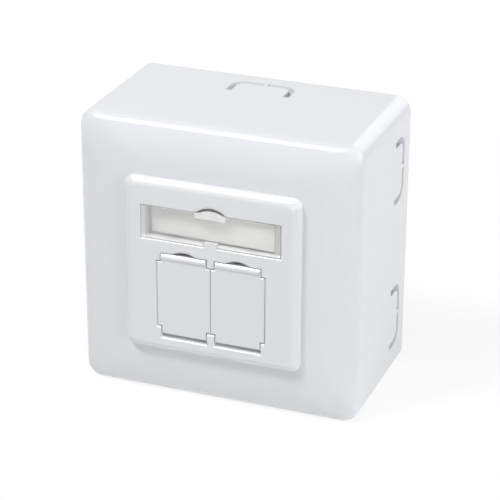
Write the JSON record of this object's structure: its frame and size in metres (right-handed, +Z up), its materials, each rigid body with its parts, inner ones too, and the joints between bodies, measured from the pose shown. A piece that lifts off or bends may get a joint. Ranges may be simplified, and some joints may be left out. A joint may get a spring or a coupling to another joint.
{
  "type": "ethernet wall socket",
  "caption": "Deep square surface-mount network wall outlet with hinged dust doors over modular jacks, a clear label window and a crowned hood with break-out cable entries.",
  "frame": {"origin": "centre of the outlet on the wall plane", "axes": "+Z up along the wall, +X to the viewer's right, +Y into the wall"},
  "size_m": [0.08, 0.0473, 0.08],
  "materials": {
    "hood_plastic": "smooth gloss",
    "plate_plastic": "smooth gloss",
    "door_plastic": "smooth gloss",
    "window_clear": "clear, smooth",
    "label_paper": "paper",
    "base_plastic": "fine grain",
    "zinc_casting": "as cast",
    "strap_steel": "zinc plated",
    "screw_steel": "zinc plated",
    "clamp_steel": "zinc plated",
    "board_laminate": "solder mask",
    "jack_plastic": "fine grain",
    "shield_steel": "tin plated",
    "contact_gold": "gold flash",
    "block_plastic": "fine grain",
    "blade_metal": "silver plated"
  },
  "bodies": {
    "outlet": {"hood": "hood_plastic", "centre_plate": "plate_plastic", "label_strip": "label_paper", "base_plate": "base_plastic", "carrier_frame": "strap_steel", "carrier_screws": "screw_steel", "frame_screws": "screw_steel", "plate_screw": "screw_steel", "lid_screws": "screw_steel", "clamp_screws": "screw_steel", "module_housing": "zinc_casting", "module_lid": "zinc_casting", "cable_clamp": "clamp_steel", "circuit_board": "board_laminate", "jack_body_left": "jack_plastic", "jack_body_right": "jack_plastic", "jack_shield_left": "shield_steel", "jack_shield_right": "shield_steel", "jack_contacts_left": "contact_gold", "jack_contacts_right": "contact_gold", "idc_block_left": "block_plastic", "idc_block_right": "block_plastic", "idc_contacts_left": "blade_metal", "idc_contacts_right": "blade_metal"},
    "door_left": {"door_left": "door_plastic"},
    "door_right": {"door_right": "door_plastic"},
    "label_window": {"label_window": "window_clear"}
  },
  "joints": [
    {"name": "door_left_hinge", "type": "hinge", "parent": "outlet", "child": "door_left", "pos_m": [-0.00775, -0.0457, -0.01875], "axis": [1, 0, 0], "range_deg": [0, 100]},
    {"name": "door_right_hinge", "type": "hinge", "parent": "outlet", "child": "door_right", "pos_m": [0.00775, -0.0457, -0.01875], "axis": [1, 0, 0], "range_deg": [0, 100]},
    {"name": "label_window_tilt", "type": "hinge", "parent": "outlet", "child": "label_window", "pos_m": [0, -0.0465, 0.00855], "axis": [1, 0, 0], "range_deg": [0, 40]}
  ]
}
